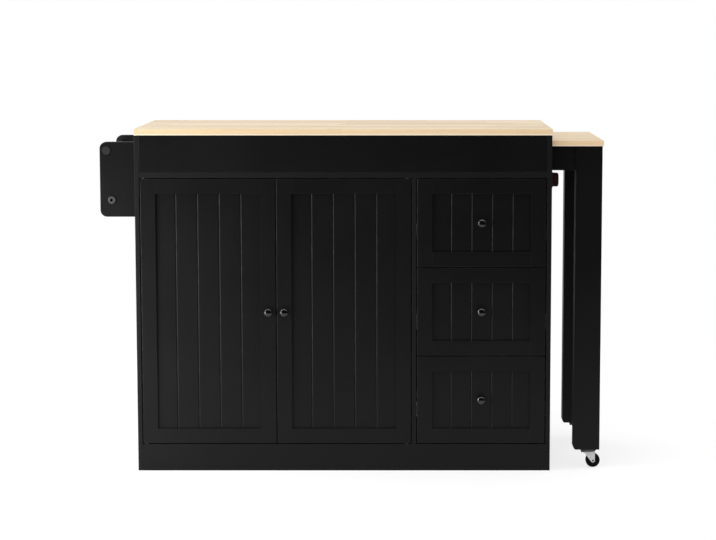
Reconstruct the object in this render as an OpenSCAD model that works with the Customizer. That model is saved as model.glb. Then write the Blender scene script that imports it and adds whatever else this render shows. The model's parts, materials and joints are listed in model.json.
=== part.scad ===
// Kitchen island: a two-door cupboard and three drawers under a wooden worktop, a table
// on castors that draws out of the right side, and a towel rack on the left side.
// Millimetres. Inside placed(), X = 0 is the outer face of the left side panel, Y = 0 the
// front of the cabinet and Z = 0 the floor. The origin is under the middle of the whole.

/* [Cabinet] */
// Width over the two side panels
cabinet_w = 1100; // [1040:10:1400]
// Depth from the front to the back
cabinet_d = 450; // [440:5:600]
// Height of the worktop's upper face
worktop_h = 914; // [880:1:950]
// Thickness of the worktop
worktop_t = 17; // [15:1:40]
// How far the worktop stands out all round
worktop_overhang = 1; // [0.5:0.5:3]
// Thickness of the upright boards
upright_t = 12; // [11:0.5:18]
// Thickness of the level boards
level_t = 15; // [12:0.5:20]
// Thickness of the back panel
back_t = 5; // [3:0.5:8]
// Height of the plinth
plinth_h = 72; // [50:1:110]
// Height of the fascia between the deck and the worktop
fascia_h = 97; // [92:1:140]
// Clear width of the drawer bay
drawer_bay_w = 345; // [320:5:420]

/* [Shelf] */
// Height of the shelf's underside above the floor
shelf_z = 420; // [250:5:600]
// Thickness of the shelf
shelf_t = 12; // [10:0.5:18]
// Setback of the shelf behind the front of the cabinet
shelf_setback = 30; // [26:1:60]
// Diameter of the shelf pins
pin_d = 5; // [4:0.5:7]
// Depth of the shelf pin holes
pin_depth = 9; // [6:0.5:9.5]
// How far a shelf pin stands out of its hole
pin_stand = 9; // [7:0.5:14]
// Distance of the pin rows from the front and back of the shelf
pin_margin = 45; // [30:1:90]
// Step between pin holes
pin_pitch = 32; // [25:1:50]
// Spare pin holes above and below each shelf pin
pin_steps = 2; // [1:1:4]

/* [Doors and drawer fronts] */
// Thickness of the stiles and rails
front_t = 18; // [17:0.5:22]
// Width of the stiles and rails
frame_w = 40; // [34:1:60]
// Gap round each door and drawer front
front_gap = 2; // [2:0.1:3]
// Thickness of the grooved panels
panel_t = 6; // [4:0.5:7]
// How far a panel lies behind the face of its frame
panel_recess = 6; // [4:0.5:6.5]
// Depth of the groove that holds a panel
groove_depth = 5; // [4:0.5:8]
// Boards that a panel seems to be made of
board_count = 5; // [3:1:8]
// Width of the V between two boards
bead_w = 4; // [2:0.5:5]
// Depth of the V between two boards
bead_d = 2; // [1:0.5:2.5]

/* [Hinges and catch] */
// Diameter of the hinge pivots
pivot_d = 5; // [4:0.5:5]
// Distance of a pivot from the hinge edge of its door
pivot_inset = 10; // [10:0.5:13]
// Distance of a pivot behind the face of its door
pivot_back = 6; // [5.5:0.1:6]
// Length of a pivot inside the door
pivot_grip = 16; // [10:1:24]
// Outer diameter of the hinge bushes
bush_d = 8; // [7:0.5:8.5]
// Length of the hinge bushes
bush_l = 8; // [6:0.5:11]
// Diameter of the collar on a pivot
collar_d = 9; // [8:0.5:10]
// Width of one strike plate
strike_w = 30; // [20:1:40]
// Height of one strike plate
strike_h = 15; // [10:1:20]
// Thickness of one strike plate
strike_t = 1; // [0.8:0.1:2]
// Distance of a strike plate from the top and the free edge of its door
strike_margin = 5; // [3:0.5:10]
// Depth of the magnet block from front to back
catch_d = 14; // [10:1:20]

/* [Knobs] */
// Diameter of the knobs
knob_d = 22; // [18:1:30]
// How far a knob stands out
knob_reach = 22; // [18:1:30]
// Diameter of a knob's foot
knob_foot_d = 13; // [10:0.5:16]
// Thickness of a knob's foot
knob_foot_t = 2; // [1:0.5:3]
// Diameter of a knob's neck
knob_neck_d = 9; // [8:0.5:12]
// Thickness of a knob's crown
knob_crown_t = 11; // [9:0.5:12]
// Radius of the rim of a knob's crown
knob_rim_r = 3; // [2:0.5:3]
// Diameter of the knob screws
knob_screw_d = 4; // [3:0.5:5]
// Depth that a knob screw enters its knob
knob_screw_grip = 12; // [8:1:14]

/* [Drawer boxes] */
// Height of a drawer box
box_h = 150; // [90:5:180]
// Depth of a drawer box from front to back
box_depth = 380; // [330:5:400]
// Thickness of the box sides, back and inner front
box_side_t = 12; // [10:0.5:15]
// Thickness of the box bottom
box_bottom_t = 5; // [3:0.5:6]
// Height of the box bottom above the lower edge of the sides
box_bottom_lift = 8; // [5:0.5:12]
// Depth of the groove that holds the box bottom
box_groove = 4; // [3:0.5:6]
// Height of the box above the lower edge of its drawer front
box_lift = 30; // [15:1:45]
// Space for one runner beside a box
runner_t = 12.5; // [11:0.5:16]
// Height of the runner channels
channel_h = 42; // [35:1:45]
// Sheet thickness of the runners
runner_sheet = 1.5; // [1:0.1:2]
// Gap between the channel's lips and the drawer box
runner_side_gap = 3; // [2.5:0.5:4]
// Height of the runner's middle above the lower edge of the box
runner_z = 60; // [40:1:70]

/* [Draw-out table] */
// Thickness of the table top
leaf_t = 15; // [12:1:25]
// Distance of the table top from the front and back of the cabinet
leaf_margin = 23; // [22:0.5:40]
// Distance of the table's inner end from the left side of the cabinet
leaf_inset = 65; // [64:1:200]
// Height of the aprons
apron_h = 64; // [50:1:65]
// Thickness of the aprons and cross rails
apron_t = 15; // [12:0.5:20]
// Width of a leg
leg_w = 70; // [50:1:90]
// Thickness of a leg from front to back
leg_t = 45; // [42:1:60]
// Gap between the cabinet and the legs in the stored place shown
leg_gap = 65; // [40:1:80]
// Setback of a leg behind the edge of the table top
leg_setback = 2; // [1:0.5:6]
// Setback of an apron behind the face of the leg
apron_setback = 4; // [1:0.5:8]
// How far the table top stands out past the legs
leaf_overhang = 3; // [1:0.5:10]
// Radius of the lower inner corner of a leg
leg_corner_r = 8; // [4:0.5:14]
// Thickness of the glides under the aprons
glide_t = 3; // [2:0.5:5]
// Length of the glides
glide_l = 50; // [30:1:80]
// How far the table can be drawn out from the place shown
leaf_travel = 700; // [500:10:760]
// Height of the guide rails
guide_h = 30; // [20:1:45]
// Gap between a guide rail and an apron
guide_play = 0.5; // [0.3:0.1:0.9]
// Height of the stop block
stop_h = 28; // [20:1:32]
// Width of the stop block
stop_w = 80; // [50:5:160]
// Length of the stop block
stop_l = 30; // [20:5:60]

/* [Leg bumpers] */
// Diameter of a bumper's flange
bumper_d = 46; // [35:1:60]
// Diameter of a bumper's body
bumper_body_d = 37; // [25:1:42]
// How far a bumper stands out
bumper_reach = 20; // [12:1:28]
// Thickness of a bumper's flange
bumper_flange_t = 4; // [2:0.5:6]
// Radius of a bumper's rounded nose
bumper_nose_r = 5; // [2:0.5:6]
// Diameter of the spigot that holds a bumper
bumper_spigot_d = 8; // [6:0.5:12]

/* [Castors] */
// Height of a castor from the floor to the top of its plate
castor_h = 51; // [50:0.5:56]
// Diameter of a wheel
wheel_d = 38; // [34:0.5:38]
// Width of a wheel
wheel_w = 16; // [12:0.5:20]
// Radius of the rounded edges of a wheel's tread
tread_edge_r = 3; // [2:0.5:5]
// Depth of the ring between a wheel's tread and its hub
wheel_dish = 2; // [1:0.5:3]
// Diameter of a wheel's hub
hub_d = 19; // [14:0.5:22]
// Distance of the axle behind the swivel axis
castor_trail = 13.5; // [11:0.5:16]
// Distance of the swivel axis from the middle of the leg
castor_shift = 5.5; // [0:0.5:8]
// Length of a castor plate
castor_plate_l = 42; // [40:1:44]
// Width of a castor plate
castor_plate_w = 38; // [38:1:40]
// Thickness of a castor plate
castor_plate_t = 2.5; // [2:0.1:3]
// Diameter of the swivel race
race_d = 30; // [26:1:31]
// Diameter of the king pin
king_pin_d = 8; // [6:0.5:9]
// Sheet thickness of a fork
fork_t = 2.4; // [1.8:0.1:2.6]
// How far a fork reaches beyond the swivel axis, away from its wheel
fork_back = 12; // [9:0.5:13]
// Diameter of an axle
axle_d = 6; // [5:0.5:8]
// Height of the rivet heads on an axle
rivet_t = 1.2; // [0.8:0.1:2]
// Diameter of the castor screws
castor_screw_d = 4; // [3:0.5:5]
// Length of the castor screws in the leg
castor_screw_l = 16; // [10:1:25]

/* [Towel rack] */
// How far the end plates stand out of the cabinet
rack_w = 100; // [80:1:130]
// Height of the end plates
rack_h = 200; // [170:1:220]
// Thickness of the end plates
rack_t = 15; // [12:0.5:20]
// Radius of the outer corners of the end plates
rack_corner_r = 18; // [8:1:30]
// Length of the rack over its two end plates
rack_span = 325; // [250:5:420]
// Distance of the top of the rack below the underside of the worktop
rack_drop = 21; // [10:1:60]
// Diameter of the upper bar
upper_bar_d = 18; // [12:1:24]
// Distance of the upper bar from the outer edge of the end plates
upper_bar_in = 18; // [14:1:30]
// Distance of the upper bar below the top of the end plates
upper_bar_down = 23; // [16:1:40]
// Diameter of the lower bar
lower_bar_d = 16; // [12:1:24]
// Distance of the lower bar from the outer edge of the end plates
lower_bar_in = 31; // [18:1:45]
// Distance of the lower bar above the bottom of the end plates
lower_bar_up = 45; // [25:1:70]
// Diameter of the fixing in the end of each bar
bar_fixing_d = 8; // [6:0.5:9]
// Depth of the fixing in the end of each bar
bar_fixing_grip = 20; // [10:1:40]
// Diameter of the caps on the upper bar
rack_cap_d = 22; // [16:1:28]
// Thickness of the caps on the upper bar
rack_cap_t = 2; // [1:0.5:4]
// Diameter of the bolt heads on the lower bar
rack_bolt_head_d = 20; // [14:1:26]
// Thickness of the bolt heads on the lower bar
rack_bolt_head_t = 3.5; // [3:0.5:6]
// Width across the flats of the hexagon socket
hex_socket_w = 8; // [5:0.5:9]
// Diameter of the screws that hold the end plates
rack_screw_d = 4; // [3:0.5:5]
// Depth of those screws in the end plates
rack_screw_grip = 25; // [15:1:40]

/* [Hidden] */
$fn = 64;

fit = 0.05;        // clearance all round a pin, screw or tongue
joint_gap = 0.1;   // hairline between two boards of one frame or box
past = 1;          // how far a cut runs past the face it opens
black_paint = [0.09, 0.09, 0.09];
pale_wood = [0.88, 0.79, 0.62];
raw_board = [0.72, 0.62, 0.48];
steel = [0.72, 0.73, 0.75];
dark_steel = [0.3, 0.3, 0.31];

// Cabinet
body_h = worktop_h - worktop_t;
deck_top = body_h - fascia_h;
deck_under = deck_top - level_t;
bay_h = deck_under - plinth_h;
bay_x1 = cabinet_w - upright_t;
bay_x0 = bay_x1 - drawer_bay_w;
divider_x = bay_x0 - upright_t;
inner_d = cabinet_d - back_t;
shelf_y1 = inner_d - joint_gap;
pin_rows = [shelf_setback + pin_margin, shelf_y1 - pin_margin];

// Doors, from the floor of the cupboard and its left side
door_w = (divider_x - upright_t - 3 * front_gap) / 2;
door_h = bay_h - 2 * front_gap;
door_z = plinth_h + front_gap;
door_left_x = upright_t + front_gap;
door_right_x = door_left_x + door_w + front_gap;
pivot_left_x = door_left_x + pivot_inset;
pivot_right_x = door_right_x + door_w - pivot_inset;
collar_t = front_gap - joint_gap;
catch_gap = 0.3;
catch_lip = 4;
catch_h = front_gap + strike_margin + strike_h + catch_lip;

// Drawers
front_w = drawer_bay_w - 2 * front_gap;
front_h = (bay_h - 4 * front_gap) / 3;
drawer_x = bay_x0 + front_gap;
lower = 0;
middle = 1;
upper = 2;
box_x0 = bay_x0 + runner_t;
box_x1 = bay_x1 - runner_t;
box_y1 = front_t + box_depth;
runner_y = front_t + 1;
runner_play = 0.4;

// Draw-out table
leaf_x0 = leaf_inset;
leg_x0 = cabinet_w + leg_gap;
leg_x1 = leg_x0 + leg_w;
leaf_x1 = leg_x1 + leaf_overhang;
apron_z0 = deck_top + glide_t;
leaf_under = apron_z0 + apron_h;
leg_y = leaf_margin + leg_setback;
apron_y = leg_y + apron_setback;
stop_headroom = 4;
rail_lift = stop_h + stop_headroom;
mouth_clear = 3;
stop_clear = 0.5;
stop_x = leaf_x0 + apron_t + leaf_travel + stop_clear;

// Castors
axle_z = wheel_d / 2;
wheel_play = 0.8;
hub_play = 0.3;
crown_gap = 2.1;
crown_z = wheel_d + crown_gap;
crown_top = crown_z + fork_t;
race_z = crown_top + joint_gap;
plate_z = castor_h - castor_plate_t;
fork_inner = wheel_w / 2 + wheel_play;
fork_outer = fork_inner + fork_t;
fork_tip_r = axle_d / 2 + fork_t;
fork_ahead = castor_trail + fork_tip_r;
fork_slope = 32;
rivet_d = axle_d + 2;
swing_clear = 0.5;
screw_head_d = 2 * castor_screw_d - 1;
screw_head_h = 2.6;
tall_head_h = plate_z - crown_top - swing_clear;
castor_x = (leg_x0 + leg_x1) / 2 + castor_shift;
castor_front_y = leg_y + leg_t / 2;
castor_rear_y = cabinet_d - castor_front_y;
screw_edge = 5;

// Towel rack
rack_z1 = body_h - rack_drop;
rack_z0 = rack_z1 - rack_h;
rack_y0 = (cabinet_d - rack_span) / 2;
rack_y1 = rack_y0 + rack_span;
upper_bar = [-rack_w + upper_bar_in, rack_z1 - upper_bar_down];
lower_bar = [-rack_w + lower_bar_in, rack_z0 + lower_bar_up];
rack_screw_edge = 40;
rack_screw_head_d = 2 * rack_screw_d;
rack_screw_head_t = 2.2;

// The whole
reach_left = rack_w;
reach_right = max(leaf_x1, castor_x + castor_trail + wheel_d / 2) - cabinet_w;
reach_front = knob_reach;
reach_back = worktop_overhang;
origin_x = (cabinet_w + reach_right - reach_left) / 2;
origin_y = (cabinet_d + reach_back - reach_front) / 2;

// The lower edge of a drawer front
function drawer_z(level) = plinth_h + front_gap + level * (front_h + front_gap);
// Points round a centre between two angles
function arc(centre, r, from, to, steps = 8) =
  [for (i = [0 : steps])
    let (a = from + (to - from) * i / steps)
    [centre[0] + r * cos(a), centre[1] + r * sin(a)]];

// ---- helpers -------------------------------------------------------------------

module placed() translate([-origin_x, -origin_y, 0]) children();

// A block between its lowest and its highest corner
module block(low, high) translate(low) cube(high - low);

// Its children, and their mirror image about the middle of the cabinet's depth
module front_and_rear() {
  children();
  rear() children();
}

module rear() translate([0, cabinet_d, 0]) mirror([0, 1, 0]) children();

// Round bars and holes along each axis, from a start point towards plus
module rod_x(start, d, l) translate(start) rotate([0, 90, 0]) cylinder(d = d, h = l);
module rod_y(start, d, l) translate(start) rotate([-90, 0, 0]) cylinder(d = d, h = l);
module rod_z(start, d, l) translate(start) cylinder(d = d, h = l);

// ---- carcase -------------------------------------------------------------------

module pin_holes(x) {
  for (y = pin_rows)
    for (step = [-pin_steps : pin_steps])
      rod_x([x, y, shelf_z - pin_d / 2 - fit + step * pin_pitch], pin_d + 2 * fit,
            pin_depth + past);
}

// Places its children where each screw of the front end plate starts
module at_rack_screws() {
  for (z = [rack_z0 + rack_screw_edge, rack_z1 - rack_screw_edge])
    translate([0, rack_y0 + rack_t / 2, z]) children();
}

module side_panel_left() color(black_paint) placed() difference() {
  block([0, 0, 0], [upright_t, cabinet_d, body_h]);
  pin_holes(upright_t - pin_depth);
  front_and_rear() at_rack_screws()
    rod_x([-past, 0, 0], rack_screw_d + 2 * fit, upright_t + 2 * past);
}

module side_panel_right() color(black_paint) placed() difference() {
  block([bay_x1, 0, 0], [cabinet_w, cabinet_d, body_h]);
  block([bay_x1 - past, leaf_margin - mouth_clear, deck_top],
        [cabinet_w + past, cabinet_d - leaf_margin + mouth_clear, body_h + past]);
  front_and_rear()
    rod_x([bay_x1 - past, castor_front_y, deck_top - bumper_d / 2],
          bumper_spigot_d + 2 * fit, upright_t + 2 * past);
}

module divider_panel() color(black_paint) placed() difference() {
  block([divider_x, 0, plinth_h], [bay_x0, inner_d, deck_under]);
  pin_holes(divider_x - past);
}

module bottom_panel() color(black_paint) placed()
  block([upright_t, upright_t, plinth_h - level_t], [bay_x1, inner_d, plinth_h]);

// Holes for the bushes of both doors, open upwards from z to z + length
module bush_holes(z, length) {
  for (x = [pivot_left_x, pivot_right_x])
    rod_z([x, pivot_back, z], bush_d + 2 * fit, length);
}

module deck_panel() color(black_paint) placed() difference() {
  block([upright_t, 0, deck_under], [bay_x1, inner_d, deck_top]);
  bush_holes(deck_under - past, bush_l + past);
}

module back_panel() color(black_paint) placed()
  block([upright_t, inner_d, 0], [bay_x1, cabinet_d, body_h]);

module fascia_front() color(black_paint) placed()
  block([upright_t, 0, deck_top], [bay_x1, upright_t, body_h]);

module fascia_rear() color(black_paint) placed()
  block([upright_t, inner_d - upright_t, deck_top], [bay_x1, inner_d, body_h]);

module plinth_boards() color(black_paint) placed() {
  difference() {
    block([upright_t, 0, 0], [bay_x1, upright_t, plinth_h]);
    bush_holes(plinth_h - bush_l, bush_l + past);
  }
  block([upright_t, inner_d - upright_t, 0], [bay_x1, inner_d, plinth_h - level_t]);
  block([divider_x, upright_t + joint_gap, 0],
        [bay_x0, inner_d - upright_t - joint_gap, plinth_h - level_t]);
}

module worktop() color(pale_wood) placed()
  block([-worktop_overhang, -worktop_overhang, body_h],
        [cabinet_w + worktop_overhang, cabinet_d + worktop_overhang, worktop_h]);

module shelf() color(black_paint) placed()
  block([upright_t + joint_gap, shelf_setback, shelf_z],
        [divider_x - joint_gap, shelf_y1, shelf_z + shelf_t]);

module shelf_pins() color(steel) placed()
  for (y = pin_rows) {
    z = shelf_z - pin_d / 2 - fit;
    rod_x([upright_t - pin_depth, y, z], pin_d, pin_depth + pin_stand);
    rod_x([divider_x - pin_stand, y, z], pin_d, pin_depth + pin_stand);
  }

module leaf_guides() color(raw_board) placed() {
  block([upright_t, upright_t, deck_top],
        [bay_x1, apron_y - guide_play, deck_top + guide_h]);
  block([upright_t, cabinet_d - apron_y + guide_play, deck_top],
        [bay_x1, inner_d - upright_t, deck_top + guide_h]);
}

module leaf_stop() color(raw_board) placed()
  block([stop_x, (cabinet_d - stop_w) / 2, deck_top],
        [stop_x + stop_l, (cabinet_d + stop_w) / 2, deck_top + stop_h]);

// A bumper with its back at X = 0 and its nose towards plus X
module bumper() {
  nose = [bumper_body_d / 2 - bumper_nose_r, bumper_reach - bumper_nose_r];
  rotate([0, 90, 0]) {
    cylinder(d = bumper_d, h = bumper_flange_t);
    rotate_extrude() polygon(concat(
      [[0, 0], [bumper_body_d / 2, 0]],
      arc(nose, bumper_nose_r, 0, 90),
      [[0, bumper_reach]]));
  }
  rod_x([-upright_t, 0, 0], bumper_spigot_d, upright_t + bumper_flange_t);
}

module leg_bumpers() color([0.2, 0.05, 0.07]) placed() front_and_rear()
  translate([cabinet_w, castor_front_y, deck_top - bumper_d / 2]) bumper();

module door_catch() color(dark_steel) placed() {
  meeting_x = door_right_x - front_gap / 2;
  half_w = front_gap / 2 + strike_margin + strike_w - catch_lip;
  face_y = front_t + strike_t + catch_gap;
  block([meeting_x - half_w, face_y, deck_under - catch_h],
        [meeting_x + half_w, face_y + catch_d, deck_under]);
}

module bush(at) translate(at) difference() {
  cylinder(d = bush_d, h = bush_l);
  translate([0, 0, -past]) cylinder(d = pivot_d + 2 * fit, h = bush_l + 2 * past);
}

module hinge_bushes() color(steel) placed()
  for (x = [pivot_left_x, pivot_right_x]) {
    bush([x, pivot_back, plinth_h - bush_l]);
    bush([x, pivot_back, deck_under]);
  }

// ---- doors and drawer fronts ---------------------------------------------------

// Two stiles and two rails round an opening, grooved for the panel
module frame(w, h) {
  slot_y = panel_recess - fit;
  slot_t = panel_t + 2 * fit;
  bed = frame_w - groove_depth;
  tenon_x = bed + joint_gap;
  for (x = [0, w - frame_w])
    difference() {
      block([x, 0, 0], [x + frame_w, front_t, h]);
      block([bed, slot_y, -past], [w - bed, slot_y + slot_t, h + past]);
    }
  for (z = [0, h - frame_w])
    difference() {
      union() {
        block([frame_w + joint_gap, 0, z],
              [w - frame_w - joint_gap, front_t, z + frame_w]);
        block([tenon_x, panel_recess, z],
              [w - tenon_x, panel_recess + panel_t, z + frame_w]);
      }
      block([tenon_x - past, slot_y, bed], [w - tenon_x + past, slot_y + slot_t, h - bed]);
    }
}

// A panel that fills the grooves of frame(), with V joints in its face
module grooved_panel(w, h) {
  bed = frame_w - groove_depth + joint_gap;
  sheet_w = w - 2 * bed;
  difference() {
    block([bed, panel_recess, bed], [w - bed, panel_recess + panel_t, h - bed]);
    for (i = [1 : board_count - 1])
      translate([bed + i * sheet_w / board_count, panel_recess, frame_w - groove_depth])
        linear_extrude(h)
          polygon([[-bead_w / 2, 0], [-bead_w / 2, -past], [bead_w / 2, -past],
                   [bead_w / 2, 0], [0, bead_d]]);
  }
}

// A mushroom knob on the Y axis, its foot at Y = 0 and its crown towards minus Y
module knob() {
  crown_r = knob_d / 2;
  rim = [crown_r - knob_rim_r, knob_reach - knob_crown_t / 2];
  taper = (knob_foot_d - knob_neck_d) / 2;
  rotate([90, 0, 0]) difference() {
    rotate_extrude() polygon(concat(
      [[0, 0], [knob_foot_d / 2, 0], [knob_foot_d / 2, knob_foot_t],
       [knob_neck_d / 2, knob_foot_t + taper],
       [knob_neck_d / 2, knob_reach - knob_crown_t]],
      arc(rim, knob_rim_r, -45, 55, 8),
      arc([0, knob_reach - knob_d], knob_d, 68, 90, 6)));
    translate([0, 0, -past])
      cylinder(d = knob_screw_d + 2 * fit, h = knob_screw_grip + fit + past);
  }
}

// A pan-head screw on the Y axis: it enters the knob at Y = 0 and its head bears on
// the back of what it holds, at Y = depth
module knob_screw(depth) {
  rod_y([0, -knob_screw_grip, 0], knob_screw_d, depth + knob_screw_grip);
  rod_y([0, depth, 0], 2 * knob_screw_d, 0.6 * knob_screw_d);
}

module screw_hole(depth) rod_y([0, -past, 0], knob_screw_d + 4 * fit, depth + 2 * past);

// Places its children at the foot of a door's knob; side is -1 for the left door
module at_door_knob(side) {
  x = side < 0 ? door_w - frame_w / 2 : frame_w / 2;
  translate([x, 0, door_h / 2]) children();
}

module at_door(side)
  translate([side < 0 ? door_left_x : door_right_x, 0, door_z]) children();

function pivot_in_door(side) = side < 0 ? pivot_inset : door_w - pivot_inset;

module door_frame(side) color(black_paint) placed() at_door(side) difference() {
  frame(door_w, door_h);
  at_door_knob(side) screw_hole(front_t);
  for (z = [-past, door_h - pivot_grip - fit])
    rod_z([pivot_in_door(side), pivot_back, z], pivot_d + 2 * fit, pivot_grip + fit + past);
}

module door_panel(side) color(black_paint) placed() at_door(side)
  grooved_panel(door_w, door_h);

module door_knob(side) color(dark_steel) placed() at_door(side) at_door_knob(side) {
  knob();
  knob_screw(front_t);
}

// One pivot: it stands in the door up to Z = 0 and in its bush beyond
module pivot() {
  reach = front_gap + bush_l - 1;
  rod_z([0, 0, -pivot_grip], pivot_d, pivot_grip + reach);
  rod_z([0, 0, 0], collar_d, collar_t);
}

module door_pivots(side) color(steel) placed() at_door(side) {
  x = pivot_in_door(side);
  strike_x = side < 0 ? door_w - strike_margin - strike_w : strike_margin;
  translate([x, pivot_back, door_h]) pivot();
  translate([x, pivot_back, 0]) mirror([0, 0, 1]) pivot();
  strike_z = door_h - strike_margin;
  block([strike_x, front_t, strike_z - strike_h],
        [strike_x + strike_w, front_t + strike_t, strike_z]);
}

// ---- drawers -------------------------------------------------------------------

module at_drawer(level) translate([drawer_x, 0, drawer_z(level)]) children();

module at_drawer_knob() translate([front_w / 2, panel_recess, front_h / 2]) children();

module drawer_front(level) color(black_paint) placed() at_drawer(level)
  frame(front_w, front_h);

module drawer_panel(level) color(black_paint) placed() at_drawer(level) difference() {
  grooved_panel(front_w, front_h);
  at_drawer_knob() screw_hole(panel_t);
}

module drawer_knob(level) color(dark_steel) placed() at_drawer(level) at_drawer_knob() {
  knob();
  knob_screw(front_t + box_side_t - panel_recess);
}

module drawer_box(level) color(raw_board) placed() {
  z0 = drawer_z(level) + box_lift;
  z1 = z0 + box_h;
  floor_z = z0 + box_bottom_lift;
  in_x0 = box_x0 + box_side_t;
  in_x1 = box_x1 - box_side_t;
  in_y0 = front_t + box_side_t;
  in_y1 = box_y1 - box_side_t;
  bed = box_groove - joint_gap;
  difference() {
    union() {
      block([box_x0, front_t, z0], [in_x0, box_y1, z1]);
      block([in_x1, front_t, z0], [box_x1, box_y1, z1]);
      block([in_x0 + joint_gap, front_t, z0], [in_x1 - joint_gap, in_y0, z1]);
      block([in_x0 + joint_gap, in_y1, z0], [in_x1 - joint_gap, box_y1, z1]);
    }
    block([in_x0 - box_groove, in_y0 - box_groove, floor_z - fit],
          [in_x1 + box_groove, in_y1 + box_groove, floor_z + box_bottom_t + fit]);
    at_drawer(level) at_drawer_knob() screw_hole(front_t + box_side_t);
  }
  block([in_x0 - bed, in_y0 - bed, floor_z], [in_x1 + bed, in_y1 + bed,
        floor_z + box_bottom_t]);
}

// Sheet-metal sections of one runner: the channel's back is at X = 0 on the cabinet,
// the moving member's back at X = runner_t on the drawer box
module channel() {
  lip = runner_t - runner_side_gap;
  block([0, runner_y, -channel_h / 2], [runner_sheet, box_y1, channel_h / 2]);
  for (z = [-channel_h / 2, channel_h / 2 - runner_sheet])
    block([0, runner_y, z], [lip, box_y1, z + runner_sheet]);
}

module runner() {
  half = channel_h / 2 - runner_sheet - runner_play;
  block([runner_t - runner_sheet, runner_y, -half], [runner_t, box_y1, half]);
  for (z = [-half, half - runner_sheet])
    block([runner_sheet + runner_play, runner_y, z], [runner_t, box_y1, z + runner_sheet]);
}

// Places its children on the left of a drawer, and their mirror image on the right
module both_runners(level) {
  z = drawer_z(level) + box_lift + runner_z;
  translate([bay_x0, 0, z]) children();
  translate([bay_x1, 0, z]) mirror([1, 0, 0]) children();
}

module drawer_channels() color(steel) placed()
  for (level = [lower, middle, upper]) both_runners(level) channel();

module drawer_runners(level) color(steel) placed() both_runners(level) runner();

// ---- draw-out table ------------------------------------------------------------

module leaf_top() color(pale_wood) placed()
  block([leaf_x0, leaf_margin, leaf_under],
        [leaf_x1, cabinet_d - leaf_margin, leaf_under + leaf_t]);

module leaf_aprons() color(black_paint) placed() front_and_rear()
  block([leaf_x0, apron_y, apron_z0], [leg_x0, apron_y + apron_t, leaf_under]);

module leaf_rails() color(black_paint) placed() {
  y0 = apron_y + apron_t;
  y1 = cabinet_d - y0;
  middle_x = (leaf_x0 + leg_x0) / 2;
  end_x = leg_x1 - apron_setback;
  block([leaf_x0, y0, apron_z0], [leaf_x0 + apron_t, y1, leaf_under]);
  block([middle_x, y0, deck_top + rail_lift], [middle_x + apron_t, y1, leaf_under]);
  block([end_x - apron_t, leg_y + leg_t, apron_z0],
        [end_x, cabinet_d - leg_y - leg_t, leaf_under]);
}

// Places its children at each screw hole of a castor plate centred on the swivel axis
module at_castor_screws() {
  for (x = [-1, 1])
    for (y = [-1, 1])
      translate([x * (castor_plate_l / 2 - screw_edge),
                 y * (castor_plate_w / 2 - screw_edge), 0]) children();
}

module at_castor() translate([castor_x, castor_front_y, 0]) children();

module leg() difference() {
  block([leg_x0, leg_y, castor_h], [leg_x1, leg_y + leg_t, leaf_under]);
  difference() {
    block([leg_x0 - past, leg_y - past, castor_h - past],
          [leg_x0 + leg_corner_r, leg_y + leg_t + past, castor_h + leg_corner_r]);
    rod_y([leg_x0 + leg_corner_r, leg_y - 2 * past, castor_h + leg_corner_r],
          2 * leg_corner_r, leg_t + 4 * past);
  }
  at_castor() at_castor_screws()
    rod_z([0, 0, castor_h - past], castor_screw_d + 2 * fit, castor_screw_l + fit + past);
}

module leg_front() color(black_paint) placed() leg();

module leg_rear() color(black_paint) placed() rear() leg();

module leaf_glides() color([0.85, 0.85, 0.8]) placed() front_and_rear()
  block([leaf_x0, apron_y, deck_top], [leaf_x0 + glide_l, apron_y + apron_t, apron_z0]);

// ---- castors -------------------------------------------------------------------

// Plate, domed race and king pin of one castor; its swivel axis is the Z axis
module castor_plate() {
  dome_h = plate_z - race_z;
  pin_head_t = 1.2;
  difference() {
    block([-castor_plate_l / 2, -castor_plate_w / 2, plate_z],
          [castor_plate_l / 2, castor_plate_w / 2, castor_h]);
    at_castor_screws()
      rod_z([0, 0, plate_z - past], castor_screw_d + 2 * fit, castor_plate_t + 2 * past);
  }
  translate([0, 0, race_z]) rotate_extrude()
    polygon([[0, 0], [race_d / 2 - 1, 0], [race_d / 2, 1.2], [race_d / 2 - 2, dome_h],
             [0, dome_h]]);
  rod_z([0, 0, crown_z - joint_gap], king_pin_d, race_z - crown_z + 2 * joint_gap);
  rod_z([0, 0, crown_z - joint_gap - pin_head_t], king_pin_d + 3, pin_head_t);
}

module castor_plates() color(dark_steel) placed() front_and_rear() at_castor()
  castor_plate();

module castor_screw(head_h) {
  rod_z([0, 0, plate_z], castor_screw_d, castor_plate_t + castor_screw_l);
  rod_z([0, 0, plate_z - head_h], screw_head_d, head_h);
}

// Four screws to a castor; the one at its front left has a tall head
module castor_screws() color(dark_steel) placed() {
  tall_x = -castor_plate_l / 2 + screw_edge;
  tall_y = -castor_plate_w / 2 + screw_edge;
  front_and_rear() at_castor() at_castor_screws() castor_screw(screw_head_h);
  for (y = [castor_front_y, castor_rear_y])
    translate([castor_x + tall_x, y + tall_y, 0]) castor_screw(tall_head_h);
}

module fork_side(y) translate([0, y + fork_t, 0]) rotate([90, 0, 0]) {
  linear_extrude(fork_t)
    polygon([[-fork_back, crown_top], [fork_ahead, crown_top],
             [castor_trail + fork_tip_r, axle_z],
             [castor_trail - fork_tip_r * cos(fork_slope),
              axle_z - fork_tip_r * sin(fork_slope)]]);
  translate([castor_trail, axle_z, 0]) cylinder(r = fork_tip_r, h = fork_t);
}

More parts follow.
